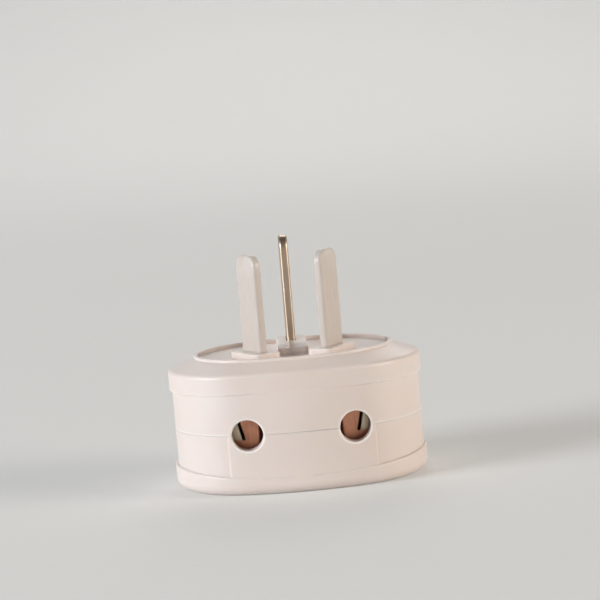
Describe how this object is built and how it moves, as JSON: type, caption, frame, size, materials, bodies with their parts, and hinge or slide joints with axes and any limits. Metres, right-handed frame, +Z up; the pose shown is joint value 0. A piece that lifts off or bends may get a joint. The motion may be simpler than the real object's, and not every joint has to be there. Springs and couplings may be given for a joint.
{
  "type": "plug adapter",
  "caption": "Oval moulded plug adapter with flat blades standing on its top face and a round-pin socket with copper contacts in its front side.",
  "frame": {"origin": "middle of the base, on the surface that the adapter stands on", "axes": "+X along the body's longer side, -Y out of the front with the round holes, +Y to the side of the earth blade, +Z up along the blades"},
  "size_m": [0.0458, 0.0332, 0.0435],
  "materials": {
    "housing": "satin white moulding",
    "coated_blade": "smooth white coating over brass",
    "brass_blade": "bare, rubbed dull",
    "strip": "as rolled",
    "contact": "copper coloured, as rolled",
    "rivet": "as formed",
    "screw": "bright"
  },
  "bodies": {
    "root": {"upper_housing": "housing", "lower_housing": "housing", "live_blade": "coated_blade", "neutral_blade": "coated_blade", "earth_blade": "brass_blade", "live_bus_strip": "strip", "neutral_bus_strip": "strip", "live_contact": "contact", "neutral_contact": "contact", "live_blade_rivet": "rivet", "neutral_blade_rivet": "rivet", "live_contact_rivet": "rivet", "neutral_contact_rivet": "rivet", "left_case_screw": "screw", "right_case_screw": "screw"}
  },
  "joints": []
}
